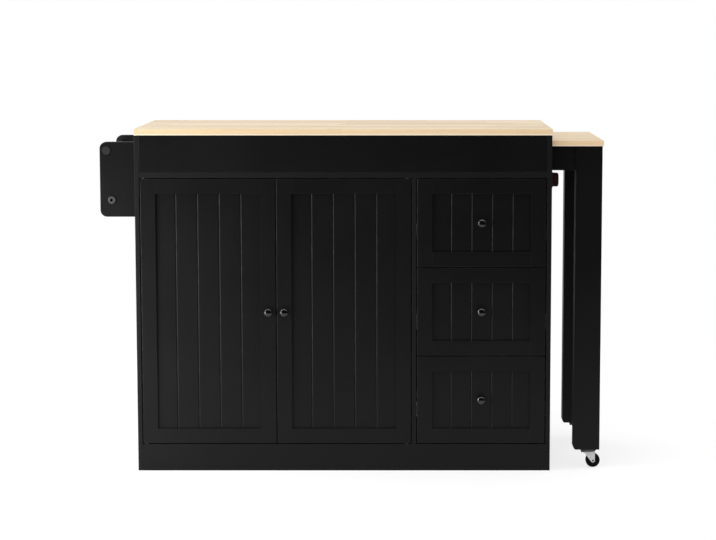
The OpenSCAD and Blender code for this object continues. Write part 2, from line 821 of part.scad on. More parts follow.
// One fork with its riveted axle; the wheel trails towards plus X
module castor_fork() {
  difference() {
    block([-fork_back, -fork_outer, crown_z], [fork_ahead, fork_outer, crown_top]);
    rod_z([0, 0, crown_z - past], king_pin_d + 2 * fit, fork_t + 2 * past);
  }
  fork_side(fork_inner);
  fork_side(-fork_outer);
  rod_y([castor_trail, -fork_outer, axle_z], axle_d, 2 * fork_outer);
  for (y = [-fork_outer - rivet_t, fork_outer])
    rod_y([castor_trail, y, axle_z], rivet_d, rivet_t);
}

module castor_fork_front() color(steel) placed() at_castor() castor_fork();

module castor_fork_rear() color(steel) placed() rear() at_castor() castor_fork();

// One wheel with a hub that runs between the fork sides
module castor_wheel() {
  bore_r = axle_d / 2 + fit;
  hub = fork_inner - hub_play;
  half_w = wheel_w / 2;
  tread = [wheel_d / 2 - tread_edge_r, half_w - tread_edge_r];
  tread_in = tread[0] - wheel_dish / 2;
  dish = half_w - wheel_dish;
  translate([castor_trail, 0, axle_z]) rotate([90, 0, 0])
    rotate_extrude($fn = 96) polygon(concat(
      [[bore_r, -hub], [hub_d / 2, -hub], [hub_d / 2 + 1, -dish], [tread_in - 1, -dish],
       [tread_in, -half_w]],
      arc([tread[0], -tread[1]], tread_edge_r, -90, 0, 6),
      arc(tread, tread_edge_r, 0, 90, 6),
      [[tread_in, half_w], [tread_in - 1, dish], [hub_d / 2 + 1, dish], [hub_d / 2, hub],
       [bore_r, hub]]));
}

module castor_wheel_front() color([0.1, 0.1, 0.1]) placed() at_castor() castor_wheel();

module castor_wheel_rear() color([0.1, 0.1, 0.1]) placed() rear() at_castor()
  castor_wheel();

// ---- towel rack ----------------------------------------------------------------

// The front end plate, bored for both bars' fixings and for its own screws
module rack_plate() {
  r = rack_corner_r;
  x0 = -rack_w;
  y1 = rack_y0 + rack_t;
  difference() {
    union() {
      block([x0 + r, rack_y0, rack_z0], [0, y1, rack_z1]);
      block([x0, rack_y0, rack_z0 + r], [0, y1, rack_z1 - r]);
      for (z = [rack_z0 + r, rack_z1 - r]) rod_y([x0 + r, rack_y0, z], 2 * r, rack_t);
    }
    for (bar = [upper_bar, lower_bar])
      rod_y([bar[0], rack_y0 - past, bar[1]], bar_fixing_d + 2 * fit, rack_t + 2 * past);
    at_rack_screws()
      rod_x([-rack_screw_grip, 0, 0], rack_screw_d + 2 * fit, rack_screw_grip + past);
  }
}

module rack_plate_front() color(black_paint) placed() rack_plate();

module rack_plate_rear() color(black_paint) placed() rear() rack_plate();

// A bar between the end plates, bored at both ends for its fixings
module towel_bar(at, d) {
  y0 = rack_y0 + rack_t;
  y1 = rack_y1 - rack_t;
  depth = bar_fixing_grip + fit;
  difference() {
    rod_y([at[0], y0, at[1]], d, y1 - y0);
    rod_y([at[0], y0 - past, at[1]], bar_fixing_d + 2 * fit, depth + past);
    rod_y([at[0], y1 - depth, at[1]], bar_fixing_d + 2 * fit, depth + past);
  }
}

module towel_bar_upper() color(steel) placed() towel_bar(upper_bar, upper_bar_d);

module towel_bar_lower() color(steel) placed() towel_bar(lower_bar, lower_bar_d);

// A round fixing in the front end plate and a bar's end, with a head outside
module bar_fixing(at, head_d, head_t) {
  rod_y([at[0], rack_y0 - head_t, at[1]], head_d, head_t);
  rod_y([at[0], rack_y0, at[1]], bar_fixing_d, rack_t + bar_fixing_grip);
}

module rack_bolts() color(steel) placed() front_and_rear() difference() {
  bar_fixing(lower_bar, rack_bolt_head_d, rack_bolt_head_t);
  translate([lower_bar[0], rack_y0 - rack_bolt_head_t - past, lower_bar[1]])
    rotate([-90, 0, 0]) cylinder(d = hex_socket_w / cos(30), h = rack_bolt_head_t + past,
                                 $fn = 6);
}

module rack_caps() color([0.4, 0.4, 0.4]) placed() front_and_rear()
  bar_fixing(upper_bar, rack_cap_d, rack_cap_t);

module rack_screws() color(steel) placed() front_and_rear() at_rack_screws() {
  rod_x([-rack_screw_grip + fit, 0, 0], rack_screw_d, rack_screw_grip + upright_t - fit);
  rod_x([upright_t, 0, 0], rack_screw_head_d, rack_screw_head_t);
}

// ---- one line for each piece ---------------------------------------------------

left = -1;
right = 1;

side_panel_left();
side_panel_right();
divider_panel();
bottom_panel();
deck_panel();
back_panel();
fascia_front();
fascia_rear();
plinth_boards();
worktop();
shelf();
shelf_pins();
leaf_guides();
leaf_stop();
leg_bumpers();
door_catch();
hinge_bushes();
drawer_channels();
rack_plate_front();
rack_plate_rear();
towel_bar_upper();
towel_bar_lower();
rack_bolts();
rack_caps();
rack_screws();
door_frame(left);  // door_left_frame
door_panel(left);  // door_left_panel
door_knob(left);  // door_left_knob
door_pivots(left);  // door_left_pivots
door_frame(right);  // door_right_frame
door_panel(right);  // door_right_panel
door_knob(right);  // door_right_knob
door_pivots(right);  // door_right_pivots
drawer_front(upper);  // drawer_upper_front
drawer_panel(upper);  // drawer_upper_panel
drawer_box(upper);  // drawer_upper_box
drawer_knob(upper);  // drawer_upper_knob
drawer_runners(upper);  // drawer_upper_runners
drawer_front(middle);  // drawer_middle_front
drawer_panel(middle);  // drawer_middle_panel
drawer_box(middle);  // drawer_middle_box
drawer_knob(middle);  // drawer_middle_knob
drawer_runners(middle);  // drawer_middle_runners
drawer_front(lower);  // drawer_lower_front
drawer_panel(lower);  // drawer_lower_panel
drawer_box(lower);  // drawer_lower_box
drawer_knob(lower);  // drawer_lower_knob
drawer_runners(lower);  // drawer_lower_runners
leaf_top();
leaf_aprons();
leaf_rails();
leg_front();
leg_rear();
leaf_glides();
castor_plates();
castor_screws();
castor_fork_front();
castor_fork_rear();
castor_wheel_front();
castor_wheel_rear();
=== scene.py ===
# Kitchen island with a draw-out table: finishes, eased edges, small fittings, light and camera.
import json
import math

import bmesh
import bpy
from mathutils import Matrix, Vector

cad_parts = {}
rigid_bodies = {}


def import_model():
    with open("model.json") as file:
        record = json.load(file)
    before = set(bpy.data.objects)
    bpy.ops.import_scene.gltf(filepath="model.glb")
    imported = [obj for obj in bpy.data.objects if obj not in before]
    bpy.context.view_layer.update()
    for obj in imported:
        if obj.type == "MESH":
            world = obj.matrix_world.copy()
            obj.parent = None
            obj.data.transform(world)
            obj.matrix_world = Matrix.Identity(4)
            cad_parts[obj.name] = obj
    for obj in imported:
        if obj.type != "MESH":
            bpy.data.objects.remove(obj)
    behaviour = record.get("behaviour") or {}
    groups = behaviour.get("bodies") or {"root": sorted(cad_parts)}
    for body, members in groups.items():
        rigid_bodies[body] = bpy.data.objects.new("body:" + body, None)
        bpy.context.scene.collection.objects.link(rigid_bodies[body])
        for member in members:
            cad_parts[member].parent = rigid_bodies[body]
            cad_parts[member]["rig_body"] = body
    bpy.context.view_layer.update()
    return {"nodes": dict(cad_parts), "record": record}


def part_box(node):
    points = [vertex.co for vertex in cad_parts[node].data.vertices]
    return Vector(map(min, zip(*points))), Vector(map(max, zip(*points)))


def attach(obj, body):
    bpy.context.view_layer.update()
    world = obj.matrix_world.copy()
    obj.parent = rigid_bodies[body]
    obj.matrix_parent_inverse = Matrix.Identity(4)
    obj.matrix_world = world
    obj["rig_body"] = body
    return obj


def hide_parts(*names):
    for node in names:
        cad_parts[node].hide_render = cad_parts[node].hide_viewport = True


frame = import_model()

nodes = frame["nodes"]
slotOf = {part["node"]: part["material_slot"] for part in frame["record"]["subparts"]}
print("frame loaded:", len(nodes), "nodes")


class Wire:
    # a socket of a node tree; plain arithmetic on it adds Math nodes
    def __init__(self, tree, socket=None):
        self.tree = tree
        self.socket = socket

    def node(self, kind, settings=None, inputs=None, output=0):
        made = self.tree.nodes.new("ShaderNode" + kind)
        for name, value in (settings or {}).items():
            if name == "stops":
                ramp = made.color_ramp
                ramp.elements.remove(ramp.elements[1])
                ramp.elements[0].position = value[0][0]
                ramp.elements[0].color = (*value[0][1], 1)
                for position, colour in value[1:]:
                    ramp.elements.new(position).color = (*colour, 1)
            else:
                setattr(made, name, value)
        for name, value in (inputs or {}).items():
            if isinstance(value, Wire):
                self.tree.links.new(value.socket, made.inputs[name])
            else:
                made.inputs[name].default_value = value
        return Wire(self.tree, made.outputs[output] if made.outputs else None)

    def maths(self, operation, *values):
        return self.node("Math", {"operation": operation}, dict(enumerate(values)))

    def __add__(self, other):
        return self.maths("ADD", self, other)

    def __radd__(self, other):
        return self.maths("ADD", other, self)

    def __sub__(self, other):
        return self.maths("SUBTRACT", self, other)

    def __rsub__(self, other):
        return self.maths("SUBTRACT", other, self)

    def __mul__(self, other):
        return self.maths("MULTIPLY", self, other)

    def __truediv__(self, other):
        return self.maths("DIVIDE", self, other)

    def floor(self):
        return self.maths("FLOOR", self)

    def fract(self):
        return self.maths("FRACT", self)

    def ramp(self, low, high, toLow=0.0, toHigh=1.0):
        # eased step from low to high
        spans = {"Value": self, "From Min": low, "From Max": high, "To Min": toLow, "To Max": toHigh}
        return self.node("MapRange", {"interpolation_type": "SMOOTHSTEP"}, spans)

    def stretched(self, x, y, z):
        return self.node("VectorMath", {"operation": "MULTIPLY"}, {0: self, 1: (x, y, z)})

    def moved(self, other):
        return self.node("VectorMath", {"operation": "ADD"}, {0: self, 1: other})

    def noise(self, scale, detail=3.0, roughness=0.55, distortion=0.0):
        return self.node("TexNoise", None, {"Vector": self, "Scale": scale, "Detail": detail,
                                            "Roughness": roughness, "Distortion": distortion})

    def axes(self):
        apart = self.node("SeparateXYZ", None, {"Vector": self})
        return [Wire(self.tree, out) for out in apart.socket.node.outputs]

    def joined(self, x, y, z):
        return self.node("CombineXYZ", None, {"X": x, "Y": y, "Z": z})


def blended(share, first, second, kind="MIX"):
    # share of the second colour over the first
    return share.node("Mix", {"data_type": "RGBA", "blend_type": kind}, {0: share, 6: first, 7: second}, 2)


def tint(red, green, blue):
    # a colour as it is picked from a screen, 0 to 255
    shares = [colour / 255 for colour in (red, green, blue)]
    return tuple(((s + 0.055) / 1.055) ** 2.4 if s > 0.0404 else s / 12.92 for s in shares) + (1,)


def finish(name, surface):
    # a material whose Principled inputs are what surface() returns
    made = bpy.data.materials.new(name)
    made.use_nodes = True
    made.node_tree.nodes.clear()
    start = Wire(made.node_tree)
    shader = start.node("BsdfPrincipled", None, surface(start))
    start.node("OutputMaterial", None, {"Surface": shader})
    return made


def bump(height, distance, strength=1.0, under=None):
    inputs = {"Height": height, "Distance": distance, "Strength": strength}
    if under:
        inputs["Normal"] = under
    return height.node("Bump", None, inputs)


def seam(share, after, before):
    # 1 where a share that runs from 0 to 1 has just begun or is about to end
    return 1 - share.ramp(0.0, after) * (1 - share.ramp(1 - before, 1.0))


def onObject(start):
    # where a point is on the object
    return start.node("TexCoord", output="Object")


def onBoard(start):
    # where a point is on its own board
    return start.node("Attribute", {"attribute_name": "boardPlace"}, output="Vector")


def faceMark(start, name):
    # 1 on the faces marked easedEdge, boardEdge or brightPart
    return start.node("Attribute", {"attribute_name": name}, output="Fac")


# the paler edge colour is partly rubbed wear and partly a painted highlight on the eased edges; the lighter
# board-edge colour is partly an edge band and partly a painted sheen
paint = {"body": (7, 7, 7), "cloud": (10, 10, 10), "edgeBandAndSheen": (13, 13, 13), "rubbedAndHighlit": (34, 33, 32),
         "roughness": 0.43, "edgeRough": 0.16, "gloss": 0.42, "rubAndHighlightShare": 0.7,
         "cloudScale": 4.5, "speckScale": 1900, "rubAndHighlightScale": 38, "brushGrain": (5, 190, 190),
         "peelScale": 620, "peelDepth": 0.00007, "brushDepth": 0.00003}


def paintSurface(start):
    place, board = onObject(start), onBoard(start)
    edge = faceMark(start, "easedEdge")
    cloud = place.noise(paint["cloudScale"], 4).ramp(0.3, 0.7)
    strokes = board.stretched(*paint["brushGrain"]).noise(1.0, 4, 0.6)
    peel = place.noise(paint["peelScale"], 2)
    specks = place.noise(paint["speckScale"], 1).ramp(0.66, 0.74)
    # paler, glossier patches on the eased edges: partly rubbed wear, partly a painted highlight where the
    # edges catch the light
    rubbedAndHighlit = edge * place.noise(paint["rubAndHighlightScale"], 3).ramp(0.42, 0.7)
    # board edges and groove walls get a lighter, rougher tone: an edge-band finish whose lighter tone is
    # partly a painted sheen
    edgeBandAndSheen = faceMark(start, "boardEdge")
    colour = blended(cloud, tint(*paint["body"]), tint(*paint["cloud"]))
    colour = blended(edgeBandAndSheen, colour, tint(*paint["edgeBandAndSheen"]))
    colour = blended(rubbedAndHighlit * paint["rubAndHighlightShare"], colour, tint(*paint["rubbedAndHighlit"]))
    rough = (paint["roughness"] + (cloud - 0.5) * 0.05 + (strokes - 0.5) * 0.10 + specks * 0.06
             - rubbedAndHighlit * 0.08 + edgeBandAndSheen * paint["edgeRough"])
    relief = bump(strokes, paint["brushDepth"], 1.0, bump(peel, paint["peelDepth"]))
    return {"Base Color": colour, "Roughness": rough, "Specular IOR Level": paint["gloss"],
            "Normal": relief}


# the pale tone on rounded-over edges and the pale foot tone on sawn edges are painted highlights, the first
# partly wear as well
lacquered = {"light": (245, 225, 187), "mid": (237, 214, 173), "dark": (221, 195, 152),
             "line": (188, 152, 108), "rosy": (236, 200, 168), "warm": (228, 198, 150),
             "streak": (228, 194, 152), "foot": (250, 236, 212),
             "lineShare": 0.16, "poreShare": 0.22, "rosyShare": 0.14, "seamShare": 0.22,
             "edgeHighlightShare": 0.5, "footHighlightShare": 0.85, "warmShare": 0.45,
             "staveWidth": 0.056, "staveLength": 0.46, "staveShift": 0.37, "rowShift": 7.0,
             "sideSeam": 0.016, "endSeam": 0.0022, "rings": 17.0,
             "figureGrain": (1.1, 13, 13), "fibreGrain": (9, 420, 420), "poreGrain": (26, 800, 800),
             "streakGrain": (2.5, 2.5, 300), "footFrom": -0.0068, "footTo": -0.0038,
             "roughness": 0.42, "gloss": 0.3, "depth": 0.00005}


def lacquerSurface(start):
    place, board = onObject(start), onBoard(start)
    edge = faceMark(start, "easedEdge")
    x, y, z = place.axes()
    across = y / lacquered["staveWidth"] + lacquered["staveShift"]
    row = across.floor()
    shift = start.node("TexWhiteNoise", {"noise_dimensions": "1D"}, {"W": row})
    along = x / lacquered["staveLength"] + shift * lacquered["rowShift"]
    cell = start.joined(row, along.floor(), 0.0)
    stave = start.node("TexWhiteNoise", {"noise_dimensions": "2D"}, {"Vector": cell}, "Color")
    hue, shade = stave.axes()[:2]
    own = place.moved(stave.stretched(3.1, 1.7, 2.3))
    figure = own.stretched(*lacquered["figureGrain"]).noise(2.2, 5, 0.6, 0.9)
    lines = (figure * lacquered["rings"]).fract()
    lines = lines.ramp(0.0, 0.75) * (1 - lines.ramp(0.82, 1.0))
    fibres = own.stretched(*lacquered["fibreGrain"]).noise(1.0, 3, 0.6)
    pores = own.stretched(*lacquered["poreGrain"]).noise(1.0, 2).ramp(0.63, 0.74)
    tone = (shade * 0.62 + figure * 0.42 + (fibres - 0.5) * 0.30).ramp(0.12, 0.92)
    stops = [(at, tint(*lacquered[name])[:3]) for at, name in ((0.0, "dark"), (0.5, "mid"), (1.0, "light"))]
    colour = tone.node("ValToRGB", {"stops": stops}, {"Fac": tone})
    colour = blended(lines * lacquered["lineShare"], colour, tint(*lacquered["line"]))
    colour = blended(pores * lacquered["poreShare"], colour, tint(*lacquered["line"]))
    colour = blended(hue.ramp(0.2, 0.9) * lacquered["rosyShare"], colour, tint(*lacquered["rosy"]))
    sideSeam = seam(across.fract(), lacquered["sideSeam"], lacquered["sideSeam"])
    endSeam = seam(along.fract(), lacquered["endSeam"], lacquered["endSeam"])
    gap = sideSeam.maths("MAXIMUM", sideSeam, endSeam)
    colour = blended(gap * lacquered["seamShare"], colour, tint(*lacquered["line"]))
    # rounded-over edges are blended towards the pale tone: partly wear, partly a painted highlight where
    # the edges catch the light
    colour = blended(edge * lacquered["edgeHighlightShare"], colour, tint(*lacquered["light"]))
    # the sawn edges show finer streaks, and a pale band along their foot is a painted highlight, where
    # light bounced from the floor catches the lower edge
    sawn = faceMark(start, "boardEdge")
    streaks = board.stretched(*lacquered["streakGrain"]).noise(1.0, 3, 0.6).ramp(0.42, 0.62)
    colour = blended(sawn * (streaks * 0.4 + 0.35), colour, tint(*lacquered["streak"]))
    foot = 1 - board.axes()[2].ramp(lacquered["footFrom"], lacquered["footTo"])
    colour = blended(sawn * foot * lacquered["footHighlightShare"], colour, tint(*lacquered["foot"]))
    # the upper face of the table's own top is a little warmer than the worktop
    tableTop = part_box("leaf_top")[1][2]
    onTable = z.ramp(tableTop - 0.002, tableTop - 0.0004) * (1 - z.ramp(tableTop + 0.002, tableTop + 0.005))
    colour = blended(onTable * lacquered["warmShare"], colour, tint(*lacquered["warm"]))
    rough = (lacquered["roughness"] + (figure - 0.5) * 0.10 + pores * 0.12 + gap * 0.1
             + (place.noise(6, 3) - 0.5) * 0.10)
    relief = bump(fibres - pores * 0.8 - gap * 1.6 + lines * 0.3, lacquered["depth"])
    return {"Base Color": colour, "Roughness": rough, "Specular IOR Level": lacquered["gloss"],
            "Normal": relief}


plywood = {"face": (214, 184, 138), "dark": (184, 148, 104), "glue": (128, 92, 58),
           "ply": 0.0017, "waver": 0.35, "glueAfter": 0.18, "glueBefore": 0.14,
           "layerShare": 0.35, "glueShare": 0.6,
           "figureGrain": (1.6, 16, 16), "fibreGrain": (14, 380, 380),
           "roughness": 0.62, "gloss": 0.4, "depth": 0.00008}


def plywoodSurface(start):
    board = onBoard(start)
    through = board.axes()[2]
    figure = board.stretched(*plywood["figureGrain"]).noise(3.0, 5, 0.6, 0.8)
    fibres = board.stretched(*plywood["fibreGrain"]).noise(1.0, 3)
    ply = through / plywood["ply"] + (board.noise(30, 2) - 0.5) * plywood["waver"]
    glue = seam(ply.fract(), plywood["glueAfter"], plywood["glueBefore"])
    onEdge = faceMark(start, "boardEdge")
    layer = (ply.floor() * 0.5).fract() * 2.0
    tone = (figure * 0.9 + (fibres - 0.5) * 0.4).ramp(0.2, 0.8)
    colour = blended(tone, tint(*plywood["dark"]), tint(*plywood["face"]))
    colour = blended(onEdge * layer * plywood["layerShare"], colour, tint(*plywood["dark"]))
    colour = blended(onEdge * glue * plywood["glueShare"], colour, tint(*plywood["glue"]))
    rough = plywood["roughness"] + (fibres - 0.5) * 0.2 + onEdge * 0.08
    return {"Base Color": colour, "Roughness": rough, "Specular IOR Level": plywood["gloss"],
            "Normal": bump(fibres + onEdge * glue * -0.6, plywood["depth"])}


zinc = {"pale": (244, 244, 245), "grey": (222, 223, 225), "metal": 0.15, "roughness": 0.38,
        "spangleScale": 210.0, "hazeScale": 90, "rollGrain": (10, 900, 900), "depth": 0.00003}


def zincSurface(start):
    place, board = onObject(start), onBoard(start)
    edge = faceMark(start, "easedEdge")
    cells = {"Vector": place, "Scale": zinc["spangleScale"]}
    spangle = start.node("TexVoronoi", {"feature": "F1"}, cells, "Color").axes()[0]
    haze = place.noise(zinc["hazeScale"], 4)
    rolled = board.stretched(*zinc["rollGrain"]).noise(1.0, 3)
    bloom = (spangle * 0.2 + haze * 0.5).ramp(0.1, 0.7)
    colour = blended(bloom, tint(*zinc["grey"]), tint(*zinc["pale"]))
    rough = zinc["roughness"] + (spangle - 0.5) * 0.08 + (haze - 0.5) * 0.10 - edge * 0.06
    relief = bump(haze + rolled * 0.5, zinc["depth"])
    return {"Base Color": colour, "Metallic": zinc["metal"], "Roughness": rough, "Normal": relief}


chrome = {"bright": (214, 216, 219), "worn": (172, 174, 178), "dull": (126, 127, 129),
          "roughness": 0.12, "satin": 0.3, "smearScale": 24, "scratchGrain": (900, 30, 30),
          "depth": 0.00001}


def chromeSurface(start):
    place, board = onObject(start), onBoard(start)
    smear = place.noise(chrome["smearScale"], 5, 0.6).ramp(0.4, 0.8)
    scratch = board.stretched(*chrome["scratchGrain"]).noise(1.0, 2).ramp(0.6, 0.75)
    colour = blended(smear, tint(*chrome["bright"]), tint(*chrome["worn"]))
    satin = faceMark(start, "brightPart")
    colour = blended(satin, colour, tint(*chrome["dull"]))
    rough = chrome["roughness"] + smear * 0.12 + scratch * 0.1 + satin * chrome["satin"]
    return {"Base Color": colour, "Metallic": 1.0, "Roughness": rough,
            "Normal": bump(scratch, chrome["depth"])}


oiled = {"dark": (70, 71, 73), "pale": (118, 119, 121), "bare": (128, 129, 131),
         "metal": 0.5, "roughness": 0.34, "bareMetal": -0.2, "bareRough": 0.14,
         "hazeScale": 140, "turnScale": 900, "depth": 0.00003}


def darkSteelSurface(start):
    place, edge = onObject(start), faceMark(start, "easedEdge")
    haze = place.noise(oiled["hazeScale"], 4)
    turned = place.noise(oiled["turnScale"], 2)
    worn = haze.ramp(0.35, 0.75) * 0.5 + edge * 0.4
    colour = blended(worn, tint(*oiled["dark"]), tint(*oiled["pale"]))
    bare = faceMark(start, "brightPart")
    colour = blended(bare, colour, tint(*oiled["bare"]))
    rough = oiled["roughness"] + (haze - 0.5) * 0.2 + bare * oiled["bareRough"]
    metal = oiled["metal"] + bare * oiled["bareMetal"]
    return {"Base Color": colour, "Metallic": metal, "Roughness": rough,
            "Normal": bump(turned, oiled["depth"])}


knobPaint = {"body": (9, 9, 10), "dust": (30, 30, 31), "roughness": 0.10, "gloss": 0.8, "coat": 1.0,
             "hazeScale": 130, "dustScale": 1500, "depth": 0.00004}


def knobSurface(start):
    place = onObject(start)
    haze = place.noise(knobPaint["hazeScale"], 4)
    dust = place.noise(knobPaint["dustScale"], 2).ramp(0.62, 0.8)
    film = dust * 0.3 + haze.ramp(0.4, 0.8) * 0.2
    colour = blended(film, tint(*knobPaint["body"]), tint(*knobPaint["dust"]))
    rough = knobPaint["roughness"] + haze.ramp(0.35, 0.8) * 0.10 + dust * 0.1
    return {"Base Color": colour, "Roughness": rough, "Specular IOR Level": knobPaint["gloss"],
            "Coat Weight": knobPaint["coat"], "Normal": bump(haze, knobPaint["depth"])}


def plainSurface(look):
    # moulded plastic or rubber from a body colour, a second colour, roughness, grain size and depth
    def surface(start):
        place, edge = onObject(start), faceMark(start, "easedEdge")
        cloud = place.noise(look["cloud"], 4)
        grain = place.noise(look["grain"], 2)
        worn = cloud.ramp(0.3, 0.75) * 0.8 + edge * 0.2
        colour = blended(worn, tint(*look["body"]), tint(*look["second"]))
        rough = look["roughness"] + (cloud - 0.5) * 0.12 + (grain - 0.5) * 0.1
        return {"Base Color": colour, "Roughness": rough, "Specular IOR Level": look["gloss"],
                "Normal": bump(grain, look["depth"])}
    return surface


capPlastic = {"body": (33, 33, 34), "second": (41, 41, 42),
              "roughness": 0.5, "cloud": 160, "grain": 1400, "depth": 0.00004, "gloss": 0.5}
bufferRubber = {"body": (38, 3, 11), "second": (50, 6, 15),
                "roughness": 0.6, "cloud": 90, "grain": 1500, "depth": 0.00008, "gloss": 0.15}
catchPlastic = {"body": (24, 24, 25), "second": (34, 34, 35),
                "roughness": 0.45, "cloud": 90, "grain": 1500, "depth": 0.00005, "gloss": 0.5}
glidePlastic = {"body": (226, 222, 210), "second": (208, 203, 190),
                "roughness": 0.38, "cloud": 60, "grain": 1200, "depth": 0.00003, "gloss": 0.5}
tyreRubber = {"body": (8, 8, 8), "second": (15, 15, 15),
              "roughness": 0.52, "cloud": 160, "grain": 1700, "depth": 0.00006, "gloss": 0.22}

finishes = {
    "black_paint": finish("satinBlackPaint", paintSurface),
    "pale_wood": finish("lacqueredStaves", lacquerSurface),
    "raw_board": finish("birchPlywood", plywoodSurface),
    "zinc_steel": finish("zincPlate", zincSurface),
    "chromed_steel": finish("brightChrome", chromeSurface),
    "dark_steel": finish("oiledSteel", darkSteelSurface),
    "black_knob": finish("knobEnamel", knobSurface),
    "black_cap": finish("greyCapPlastic", plainSurface(capPlastic)),
    "maroon_rubber": finish("maroonRubber", plainSurface(bufferRubber)),
    "black_plastic": finish("blackPlastic", plainSurface(catchPlastic)),
    "pale_plastic": finish("palePlastic", plainSurface(glidePlastic)),
    "black_tyre": finish("tyreRubber", plainSurface(tyreRubber)),
}
print("finishes made:", len(finishes))


# how far each kind of piece is rounded over, in metres, and the shortest edge that is
easing = {
    "worktop": {"round": 0.0016, "steps": 3, "shortest": 0.008},
    "leaf_top": {"round": 0.0014, "steps": 3, "shortest": 0.008},
    "black_paint": {"round": 0.0008, "steps": 2, "shortest": 0.0016},
    "frame": {"round": 0.0008, "steps": 2, "shortest": 0.0016, "rim": 0.0018, "rimSteps": 4},
    "panel": {"round": 0.0008, "steps": 2, "shortest": 0.0016},
    "raw_board": {"round": 0.0005, "steps": 2, "shortest": 0.0016},
    "castor_plates": {"round": 0.0003, "steps": 2, "shortest": 0.0003, "bright": (0.0426, 0.0484)},
    "rack_bolts": {"round": 0.0003, "steps": 2, "shortest": 0.0003, "bright": (0.0, 0.9)},
    "zinc_steel": {"round": 0.00018, "steps": 1, "shortest": 0.0006},
    "chromed_steel": {"round": 0.0004, "steps": 2, "shortest": 0.0004},
    "dark_steel": {"round": 0.0003, "steps": 2, "shortest": 0.0003},
    "black_knob": {"round": 0.0004, "steps": 2, "shortest": 0.0004},
    "black_cap": {"round": 0.0005, "steps": 3, "shortest": 0.0004},
    "maroon_rubber": {"round": 0.0006, "steps": 3, "shortest": 0.0004},
    "black_plastic": {"round": 0.0005, "steps": 2, "shortest": 0.0008},
    "pale_plastic": {"round": 0.0004, "steps": 2, "shortest": 0.0008},
    "black_tyre": {"round": 0.0008, "steps": 3, "shortest": 0.0004},
}


# distances in metres within which points match or are welded
near = 1e-5
weld = 1e-6
fineWeld = 1e-7
# edges that fold more than the first angle are sharp, and less than the second are flat, in radians
sharpAngle = 0.6
flatAngle = 0.012
# how far the grain moves on from one board of a piece to the next, and what counts as a board's face
boardNudge = Vector((0.37, 0.053, 0.0))
faceShare = 0.75


def islandsOf(bm):
    # the separate solids in one mesh, as lists of points
    left = set(bm.verts)
    while left:
        seed = next(iter(left))
        found, border = {seed}, [seed]
        while border:
            for edge in border.pop().link_edges:
                for vert in edge.verts:
                    if vert not in found:
                        found.add(vert)
                        border.append(vert)
        left -= found
        yield found


def placeBoards(bm):
    # each solid's own frame: along its longest side, across, and through its thickness
    spot = bm.verts.layers.float_vector.new("boardPlace")
    onEdge = bm.faces.layers.float.new("boardEdge")
    for count, island in enumerate(sorted(islandsOf(bm), key=lambda part: min(v.index for v in part))):
        low = Vector([min(v.co[i] for v in island) for i in range(3)])
        high = Vector([max(v.co[i] for v in island) for i in range(3)])
        size, middle = high - low, (high + low) / 2
        order = sorted(range(3), key=lambda i: -size[i])
        nudge = boardNudge * count
        for vert in island:
            vert[spot] = Vector([vert.co[i] - middle[i] for i in order]) + nudge
        for face in {f for v in island for f in v.link_faces}:
            face[onEdge] = 0.0 if abs(face.normal[order[2]]) > faceShare else 1.0


def sharpEdges(bm, look):
    folded = [e for e in bm.edges if len(e.link_faces) == 2 and e.calc_face_angle(0) > sharpAngle]
    return [e for e in folded if e.calc_length() > look["shortest"]]


def rimEdges(bm, look):
    # the edges round the outside of a door or drawer front, seen from the front
    limits = [(i, pick(v.co[i] for v in bm.verts)) for i in (0, 2) for pick in (min, max)]

    def onRim(edge):
        level = abs(edge.verts[0].co.y - edge.verts[1].co.y) < near
        return level and any(all(abs(v.co[i] - at) < near for v in edge.verts) for i, at in limits)

    return [edge for edge in sharpEdges(bm, look) if onRim(edge)]


def roundOver(bm, edges, offset, steps, eased):
    made = bmesh.ops.bevel(bm, geom=edges, offset=offset, offset_type="OFFSET", affect="EDGES",
                           segments=steps, profile=0.5, clamp_overlap=False, material=-1)
    for face in made["faces"]:
        face[eased] = 1.0


def settle(bm, name, node, slot=None):
    # mesh, object, finish, body and slot of a finished piece
    slot = slot or slotOf[node]
    bm.verts.index_update()
    bm.normal_update()
    placeBoards(bm)
    mesh = bpy.data.meshes.new(name)
    bm.to_mesh(mesh)
    bm.free()
    mesh.shade_smooth()
    mesh.set_sharp_from_angle(angle=sharpAngle)
    piece = bpy.data.objects.new(name, mesh)
    bpy.context.scene.collection.objects.link(piece)
    mesh.materials.append(finishes[slot])
    weigh = piece.modifiers.new("evenShading", "WEIGHTED_NORMAL")
    weigh.keep_sharp = True
    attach(piece, nodes[node]["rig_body"])
    return piece


def kindOf(node):
    # stiles and rails, grooved panels, and the rest by their finish
    if node.startswith(("door", "drawer")):
        return {"frame": "frame", "front": "frame", "panel": "panel"}.get(node.split("_")[-1])


def easedCopy(node):
    look = easing.get(node) or easing.get(kindOf(node)) or easing[slotOf[node]]
    bm = bmesh.new()
    bm.from_mesh(nodes[node].data)
    bmesh.ops.remove_doubles(bm, verts=bm.verts, dist=weld)
    bmesh.ops.dissolve_limit(bm, angle_limit=flatAngle, verts=bm.verts, edges=bm.edges)
    eased = bm.faces.layers.float.new("easedEdge")
    bright = bm.faces.layers.float.new("brightPart")
    if "rim" in look:
        roundOver(bm, rimEdges(bm, look), look["rim"], look["rimSteps"], eased)
    roundOver(bm, sharpEdges(bm, look), look["round"], look["steps"], eased)
    low, high = look.get("bright", (1, 0))
    for face in bm.faces:
        face[bright] = 1.0 if low < face.calc_center_median().z < high else 0.0
    piece = settle(bm, node + "_eased", node)
    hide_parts(node)


for node in sorted(nodes):
    easedCopy(node)
print("eased copies made:", len(nodes))


def laid(bm, shape, at, turn):
    # a copy of a small shape, turned and put in its place
    before = len(bm.verts)
    bm.from_mesh(shape)
    bm.verts.ensure_lookup_table()
    bmesh.ops.transform(bm, matrix=Matrix.Translation(at) @ turn, verts=bm.verts[before:])


